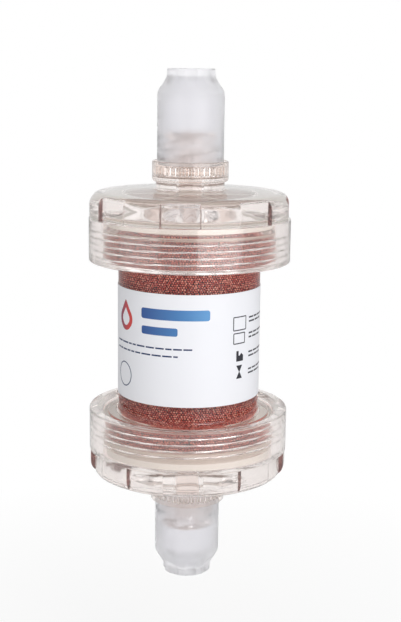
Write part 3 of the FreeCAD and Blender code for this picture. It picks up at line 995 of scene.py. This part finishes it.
# %% [markdown]
# One bead is copied round the tube, that row is copied half a bead further round, and the pair of rows is
# copied upwards. Then every bead is pushed a little out of its place, because beads that were poured in
# don't lie in perfect rows. A particle system could scatter beads too, but it leaves gaps and overlaps.
# Each bead has only 20 faces, because there are thousands of them, and smooth shading hides it. The label
# leaves a strip bare at the back, which has its own few columns of beads.

# %% Lay the beads
BEAD_ROW = BEAD * math.sin(math.radians(60))
LAYER_RADIUS = TUBE_BORE - BEAD / 2
BEAD_JITTER = 0.15
BEAD_SHADES = (0.75, 1.2)
LABEL_LAP = 0.8
SEAM_COLUMNS = 6
SEAM_START = math.radians(84.5)


def lay_beads(name, bottom, top, columns, start, seed):
    """A layer of beads against the tube's wall: so many columns from the start angle (in radians)."""
    turn = 2 * math.asin(BEAD / 2 / LAYER_RADIUS)
    around = round(FULL_TURN / turn)
    turn = FULL_TURN / around
    pairs = round((top - bottom - BEAD) / BEAD_ROW / 2 + 0.5)
    climb = (top - bottom - BEAD) / (2 * pairs - 1)
    deselect_all()
    bpy.ops.mesh.primitive_ico_sphere_add(subdivisions=1, radius=BEAD / 2 * MM)
    layer = bpy.context.object
    layer.name = name
    layer.data.name = name
    layer.rotation_euler.y = math.pi / 2
    bpy.ops.object.transform_apply(rotation=True)
    layer.location = Vector((LAYER_RADIUS, 0, bottom + BEAD / 2)) * MM
    bpy.ops.object.transform_apply(location=True)
    layer.rotation_euler.z = start
    bpy.ops.object.transform_apply(rotation=True)
    corners = len(layer.data.vertices)
    copy_along(layer, columns or around, turn, 0)
    copy_along(layer, 2, turn / 2, climb)
    copy_along(layer, pairs, 0, 2 * climb)
    chance = random.Random(seed)
    reach = BEAD * BEAD_JITTER * MM
    vertices = layer.data.vertices
    shade = layer.data.attributes.new("shade", "FLOAT", "POINT")
    for first in range(0, len(vertices), corners):
        push = Vector([chance.uniform(-reach, reach) for _ in range(3)])
        out = Vector((vertices[first].co.x, vertices[first].co.y, 0)).normalized()
        push -= out * max(0, push.dot(out))
        tone = chance.uniform(*BEAD_SHADES)
        for index in range(first, first + corners):
            vertices[index].co += push
            shade.data[index].value = tone
    print(f"{name}: {len(vertices) // corners} beads")
    finish_piece(layer, bead_material, "cartridge", "sorbent")


lay_beads("upper_beads", label_top - LABEL_LAP, bed_top, 0, 0, 3)
lay_beads("lower_beads", bed_bottom, label_bottom + LABEL_LAP, 0, 0, 5)
lay_beads("seam_beads", label_bottom + LABEL_LAP, label_top - LABEL_LAP, SEAM_COLUMNS, SEAM_START, 7)

# %% [markdown]
# The label is a satin white film wrapped round the barrel, with its butt seam at the back. Spinning a thin
# section through less than a full turn gives it its two true ends.

# %% Build the label
LABEL_THICKNESS = 0.12
LABEL_ANGLE = math.radians(352)
LABEL_STEPS = 176


def label_finish():
    """Satin white film."""
    material, nodes, links, shader, place = start_material("label_film")
    shader.inputs["Base Color"].default_value = (0.84, 0.845, 0.885, 1)
    grain = noise_at(nodes, links, place, 2500, 2)
    links.new(spread(nodes, links, grain, 0.32, 0.44), shader.inputs["Roughness"])
    bump_from(nodes, links, shader, grain, 0.01)
    return material


label = draw_outline("label_wrap", [
    (label_radius - LABEL_THICKNESS, label_bottom),
    (label_radius, label_bottom),
    (label_radius, label_top),
    (label_radius - LABEL_THICKNESS, label_top),
])
activate(label)
label.rotation_euler.z = math.pi / 2 - (FULL_TURN - LABEL_ANGLE) / 2
bpy.ops.object.transform_apply(rotation=True)
edit(label)
bpy.ops.mesh.spin(steps=LABEL_STEPS, angle=LABEL_ANGLE, center=(0, 0, 0), axis=(0, 0, 1))
bpy.ops.mesh.select_all(action="SELECT")
bpy.ops.mesh.remove_doubles(threshold=NEAR * MM)
bpy.ops.mesh.normals_make_consistent(inside=False)
bpy.ops.object.mode_set(mode="OBJECT")
print(f"label {2 * label_radius:.2f} mm across")
finish_piece(label, label_finish(), "cartridge", "label_film", "label")

# %% [markdown]
# The print is one thin layer of ink per colour. Every mark is drawn flat first, with its length along the
# arc as x. A mark is a filled shape or only its outline, and the marks of one colour are joined.

# %% Draw flat marks


def box_corners(left, bottom, width, height, rounding=0.0):
    """Corners of an upright box."""
    right = left + width
    top = bottom + height
    places = [(left, bottom), (right, bottom), (right, top), (left, top)]
    return [place + (rounding,) if rounding else place for place in places]


def hollow(piece, line):
    """Turn a filled shape into its outline, a line of this width in mm."""
    edit(piece, "polygons")
    bpy.ops.mesh.inset(thickness=line * MM)
    bpy.ops.mesh.delete(type="FACE")
    bpy.ops.object.mode_set(mode="OBJECT")


def join_pieces(name, pieces):
    """Join flat marks into one piece."""
    activate(pieces[0])
    for piece in pieces:
        piece.select_set(True)
    bpy.ops.object.join()
    joined = bpy.context.object
    joined.name = name
    joined.data.name = name
    return joined


# %% [markdown]
# The flat marks are then cut into short stretches, thickened to a film and wrapped round the label. A
# picture on the label could show the print too, but it would need an image file, and ink that is drawn as
# a shape stays sharp from any distance.

# %% Wrap and ink the marks
INK = 0.02
STRETCH = 1.2


def wrap_print(piece):
    """Cut flat marks into short stretches, thicken them and wrap them round the label."""
    low = min(vertex.co.x for vertex in piece.data.vertices) / MM
    high = max(vertex.co.x for vertex in piece.data.vertices) / MM
    edit(piece)
    for cut in range(math.ceil(low / STRETCH), math.ceil(high / STRETCH)):
        bpy.ops.mesh.select_all(action="SELECT")
        bpy.ops.mesh.bisect(plane_co=(cut * STRETCH * MM, 0, 0), plane_no=(1, 0, 0))
    bpy.ops.object.mode_set(mode="OBJECT")
    bpy.ops.object.modifier_add(type="SOLIDIFY")
    film = piece.modifiers[-1]
    film.thickness = INK * MM
    film.offset = 0
    bpy.ops.object.modifier_apply(modifier=film.name)
    for vertex in piece.data.vertices:
        radius = (label_radius + INK / 2) * MM - vertex.co.y
        angle = vertex.co.x / (label_radius * MM)
        vertex.co.x = radius * math.sin(angle)
        vertex.co.y = -radius * math.cos(angle)
    edit(piece)
    bpy.ops.mesh.normals_make_consistent(inside=False)
    bpy.ops.object.mode_set(mode="OBJECT")


def ink_finish(name, left, right, start, end):
    """Satin ink that goes from one colour to the other between two places along the label, in mm."""
    material, nodes, links, shader, place = start_material(name)
    across = nodes.new("ShaderNodeSeparateXYZ")
    links.new(place, across.inputs["Vector"])
    along = spread(nodes, links, across.outputs["X"], 0, 1, start * MM, end * MM)
    colour_by(nodes, links, shader, along, (0, left), (1, right))
    grain = noise_at(nodes, links, place, 3000)
    links.new(spread(nodes, links, grain, 0.3, 0.45), shader.inputs["Roughness"])
    return material


# %% [markdown]
# The marks say nothing. The largest are a drop and two bars, whose colour changes along the label.

# %% Print the drop and the bars
NAVY = (0.012, 0.03, 0.11, 1)
DEEP_BLUE = (0.015, 0.07, 0.27, 1)
LIGHT_BLUE = (0.10, 0.30, 0.60, 1)
RED = (0.62, 0.05, 0.045, 1)

drop = draw_outline("drop", [(-18.3, 10.2, 0.2), (-22.0, 5.2, 2.5), (-18.3, 1.5, 2.5), (-14.6, 5.2, 2.5)])
hollow(drop, 1.2)
emblem = join_pieces("print_emblem", [drop])
wrap_print(emblem)
finish_piece(emblem, ink_finish("emblem_ink", NAVY, RED, -17.5, -14.5), "cartridge", "label_film")

title_bar = draw_outline("title_bar", box_corners(-12.2, 6.5, 17.5, 2.6, 0.6))
second_bar = draw_outline("second_bar", box_corners(-12.1, 2.7, 9.6, 2.0, 0.5))
title = join_pieces("print_title", [title_bar, second_bar])
wrap_print(title)
finish_piece(title, ink_finish("title_ink", DEEP_BLUE, LIGHT_BLUE, -11.5, 4.5), "cartridge", "label_film")

# %% [markdown]
# Small print is a row of dashes of uneven length, which looks like words from a step away. Under two such
# rows stands a plain ring.

# %% Print the small rows and the ring
DASH_WIDTHS = (1.0, 2.8)
DASH_GAP = 0.4
SHORTEST_DASH = 0.6
LINE = 0.26


def dashes(name, left, right, bottom, height, seed):
    """A row of dashes of uneven length, with even gaps."""
    chance = random.Random(seed)
    row = []
    while left < right - SHORTEST_DASH:
        width = min(chance.uniform(*DASH_WIDTHS), right - left)
        row.append(draw_outline(f"{name}_{len(row)}", box_corners(left, bottom, width, height)))
        left += width + DASH_GAP
    return row


deselect_all()
bpy.ops.mesh.primitive_circle_add(
    vertices=48,
    radius=3.1 * MM,
    fill_type="NGON",
    rotation=(math.pi / 2, 0, 0),
    location=(-18.85 * MM, 0, -8.5 * MM),
)
ring = bpy.context.object
bpy.ops.object.transform_apply(location=True, rotation=True)
hollow(ring, LINE)
small_rows = dashes("row", -23.0, 1.9, -0.65, 0.38, 2) + dashes("row", -23.0, -2.4, -2.45, 0.38, 4)
small_print = join_pieces("print_small", [ring] + small_rows)
wrap_print(small_print)
finish_piece(small_print, ink_finish("small_ink", NAVY, NAVY, -17, 2), "cartridge", "label_film")

# %% [markdown]
# Two boxes and two small signs stand in a column further right, each with two rows of dashes beside it.

# %% Print the boxes and the notes
BLACK = (0.02, 0.02, 0.03, 1)

first_box = draw_outline("first_box", box_corners(11.6, 3.4, 4.5, 3.5, 0.3))
second_box = draw_outline("second_box", box_corners(11.7, 0.1, 4.0, 2.8, 0.3))
for box in (first_box, second_box):
    hollow(box, LINE)
block = draw_outline("block", [
    (12.75, -4.2),
    (15.1, -4.2),
    (15.1, -2.8),
    (14.4, -2.2),
    (13.9, -2.8),
    (13.5, -2.8),
    (13.5, -1.6),
    (12.75, -1.6),
])
glass_bottom = draw_outline("glass_bottom", [(12.8, -8.5), (14.8, -8.5), (13.8, -6.7)])
glass_top = draw_outline("glass_top", [(13.8, -7.0), (14.8, -5.2), (12.8, -5.2)])
notes = [first_box, second_box, block, glass_bottom, glass_top]
for index, level in enumerate((5.3, 1.4, -3.3, -7.6)):
    notes += dashes("note", 17.3, 26.0, level + 0.7, 0.4, 10 + index)
    notes += dashes("note", 17.3, 24.5, level - 0.3, 0.4, 20 + index)
note_print = join_pieces("print_notes", notes)
wrap_print(note_print)
finish_piece(note_print, ink_finish("note_ink", BLACK, BLACK, 11, 18), "cartridge", "label_film")

# %% [markdown]
# The seal is turned like the rest, a little fuller than its room, because it is squeezed between the barrel
# and the lid and wets both.

# %% Turn the seals
SEAL_OUTER = 20.6
SEAL_BORE = 16.3
SQUEEZE = 0.02


def silicone_finish():
    """Translucent silicone."""
    material, nodes, links, shader, place = start_material("silicone")
    shader.inputs["Base Color"].default_value = (0.95, 0.93, 0.89, 1)
    shader.inputs["Transmission Weight"].default_value = 0.1
    shader.inputs["IOR"].default_value = 1.41
    dull = noise_at(nodes, links, place, 300)
    links.new(spread(nodes, links, dull, 0.4, 0.5), shader.inputs["Roughness"])
    let_light_in(material, (0.7, 0.69, 0.67, 1))
    return material


seal = draw_outline("seal_pattern", [
    (SEAL_BORE, barrel_end - SQUEEZE),
    (SEAL_OUTER, barrel_end - SQUEEZE),
    (SEAL_OUTER, seal_top + SQUEEZE),
    (SEAL_BORE, seal_top + SQUEEZE),
])
spin(seal, ROUND_STEPS)
silicone = silicone_finish()
for end in ("upper", "lower"):
    ring_seal = turned_copy(seal, f"{end}_seal_ring", over=end == "lower")
    finish_piece(ring_seal, silicone, "cartridge", "silicone", f"{end}_seal")
remove_piece(seal)

# %% [markdown]
# Screens and frames have the right shape already, so they stay as they are and only get a finish: a fine
# weave that the water makes nearly clear, and natural plastic. Threads of their own would be finer than a
# pixel, so two crossed waves in the bump stand for them. At a scale of one, the wave texture has twenty
# waves in the length of a full turn, and the weave's scale follows from that.

# %% Finish the screens and their frames
MESH_PITCH = 0.2
WEAVE_SCALE = FULL_TURN / 20 / (MESH_PITCH * MM)


def mesh_finish():
    """Fine white woven mesh, wet and nearly clear."""
    material, nodes, links, shader, place = start_material("screen_mesh")
    shader.inputs["Base Color"].default_value = (0.86, 0.70, 0.655, 1)
    shader.inputs["Roughness"].default_value = 0.6
    shader.inputs["Alpha"].default_value = 0.7
    shader.inputs["IOR"].default_value = WET_IOR
    threads = []
    for direction in ("X", "Y"):
        wave = nodes.new("ShaderNodeTexWave")
        wave.bands_direction = direction
        wave.inputs["Scale"].default_value = WEAVE_SCALE
        links.new(place, wave.inputs["Vector"])
        threads.append(wave.outputs["Fac"])
    bump_from(nodes, links, shader, calculate(nodes, links, "MAXIMUM", *threads), 0.01)
    return material


def frame_finish():
    """Natural plastic under water."""
    material, nodes, links, shader, place = start_material("frame_plastic")
    shader.inputs["Base Color"].default_value = (0.92, 0.885, 0.85, 1)
    shader.inputs["Transmission Weight"].default_value = 0.15
    shader.inputs["IOR"].default_value = 1.49 / WATER_IOR
    gloss = noise_at(nodes, links, place, 900)
    links.new(spread(nodes, links, gloss, 0.15, 0.3), shader.inputs["Roughness"])
    return material


INNER_FINISHES = {"screen": mesh_finish(), "screen_frame": frame_finish()}
for end in ("upper", "lower"):
    for kind, finish in INNER_FINISHES.items():
        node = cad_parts[f"{end}_{kind}"]
        node.data.materials.clear()
        node.data.materials.append(finish)
print(f"inner pieces between {screen_bottom:.1f} and {seal_top:.1f} mm")

# %% [markdown]
# The camera stands where the photographer stood: a little above the upper lid, looking down by 11 degrees
# through a short telephoto lens, with the cartridge slightly left of the middle and leaning a touch.

# %% Set up the camera
CAMERA_DISTANCE = 303.5
CAMERA_HEIGHT = 64.6
CAMERA_RIGHT = 2.9
CAMERA_DOWN = math.radians(11)
CAMERA_ROLL = math.radians(0.68)
FOCAL_PIXELS = 1230
PICTURE_HEIGHT = 622
SENSOR = 36

bpy.ops.object.camera_add(location=(CAMERA_RIGHT * MM, -CAMERA_DISTANCE * MM, CAMERA_HEIGHT * MM))
camera = bpy.context.object
camera.name = "camera"
camera.rotation_euler = (math.pi / 2 - CAMERA_DOWN, 0, 0)
camera.data.sensor_width = SENSOR
camera.data.lens = SENSOR * FOCAL_PIXELS / PICTURE_HEIGHT
camera.data.clip_start = 10 * MM
camera.data.clip_end = 20
bpy.context.view_layer.update()
camera.rotation_euler.rotate_axis("Z", CAMERA_ROLL)
bpy.context.scene.camera = camera
print(f"lens of {camera.data.lens:.0f} mm, {CAMERA_DISTANCE:.0f} mm away")

# %% [markdown]
# The studio is a plain pale floor under soft light. To a camera and to whatever looks through a clear part,
# the room is white. For scattered light it is at half that level, which keeps pale colours as they are. A
# mirror sees something in between, or the glare on the lid would hide what is behind it. The room on the
# camera's side is dimmer too, as a studio is, for the same reason. The Light Path node tells what kind of ray
# is asking.

# %% Light the room
AMBIENT = 0.5
FRONT_LEVEL = 0.5
FRONT_END = 0.3
MIRROR_SHARE = 0.6

world = bpy.data.worlds.new("studio")
bpy.context.scene.world = world
world.use_nodes = True
nodes = world.node_tree.nodes
links = world.node_tree.links
rays = nodes.new("ShaderNodeLightPath").outputs
mirrored = calculate(nodes, links, "MULTIPLY", rays["Is Glossy Ray"], MIRROR_SHARE)
seen = calculate(nodes, links, "MAXIMUM", rays["Is Camera Ray"], mirrored)
seen = calculate(nodes, links, "MAXIMUM", seen, rays["Is Transmission Ray"])
direction = nodes.new("ShaderNodeSeparateXYZ")
links.new(nodes.new("ShaderNodeTexCoord").outputs["Generated"], direction.inputs["Vector"])
front = spread(nodes, links, direction.outputs["Y"], FRONT_LEVEL, 1, -1, FRONT_END)
brightest = calculate(nodes, links, "MAXIMUM", front, rays["Is Camera Ray"])
level = spread(nodes, links, seen, AMBIENT, 1)
links.new(brightest, level.node.inputs["To Max"])
nodes["Background"].inputs["Color"].default_value = (1, 1, 1, 1)
links.new(level, nodes["Background"].inputs["Strength"])
print(f"room at {AMBIENT:.0%} for scattered light")

# %% [markdown]
# The cartridge hangs in its holder, so the floor lies far enough below it for the lower cap to come off. The
# paper is a plain grey-white that takes a shadow. To the camera it glows by a share that grows away from the
# object, so it ends in plain white, and only the floor near the object keeps a faint shadow.

# %% Lay the floor
CAP_ROOM = 31
FLOOR_NEAR = 40
FLOOR_FAR = 160
GLOW_NEAR = 0.85

deselect_all()
bpy.ops.mesh.primitive_plane_add(size=6, location=(0, 0, (lower_cap_end - CAP_ROOM) * MM))
floor = bpy.context.object
floor.name = "floor"
floor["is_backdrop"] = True
paper, nodes, links, shader, place = start_material("floor_paper")
shader.inputs["Base Color"].default_value = (0.85, 0.85, 0.85, 1)
shader.inputs["Roughness"].default_value = 0.9
rays = nodes.new("ShaderNodeLightPath").outputs
seen = calculate(nodes, links, "MAXIMUM", rays["Is Camera Ray"], rays["Is Transmission Ray"])
away = length_of(nodes, links, place)
share = spread(nodes, links, away, GLOW_NEAR, 1, FLOOR_NEAR * MM, FLOOR_FAR * MM)
glow = nodes.new("ShaderNodeEmission")
glow.inputs["Color"].default_value = (1, 1, 1, 1)
share = calculate(nodes, links, "MULTIPLY", seen, share)
mix_surface(nodes, links, share, shader.outputs["BSDF"], glow.outputs["Emission"])
floor.data.materials.append(paper)
print(f"floor {CAP_ROOM} mm under the lower cap")

# %% [markdown]
# A large soft box stands high on the right, a second one lower on the same side lights the front, and a
# weak one on the left opens the shadows. Large lamps give soft highlights on the shoulders. Light that goes
# through the lids meets many walls, so it may bounce more often than usual.

# %% Set up the lamps


def soft_light(name, place, size, power):
    """A square soft box that looks at the middle of the cartridge; place and size in mm, power in watts."""
    bpy.ops.object.light_add(type="AREA", location=Vector(place) * MM)
    lamp = bpy.context.object
    lamp.name = name
    lamp.data.size = size * MM
    lamp.data.energy = power
    lamp.rotation_euler = (-lamp.location).to_track_quat("-Z", "Y").to_euler()


soft_light("key_light", (260, -420, 420), 300, 0.85)
soft_light("front_light", (275, -395, 80), 480, 1.15)
soft_light("fill_light", (-420, -260, 60), 450, 0.45)
scene = bpy.context.scene
scene.view_settings.view_transform = "Standard"
scene.cycles.max_bounces = 24
scene.cycles.glossy_bounces = 16
scene.cycles.transmission_bounces = 24
print(f"{scene.cycles.max_bounces} bounces of light at most")

# %% [markdown]
# The last cell prints the height of the imported model and of the dressed one, so that both can be
# compared.

# %% Print the sizes at the end
low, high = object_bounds()
dressed_height = (high.z - low.z) / MM
packed_height = (cad_high.z - cad_low.z) / MM
print(f"dressed part {dressed_height:.1f} mm high, packed model {packed_height:.1f} mm")
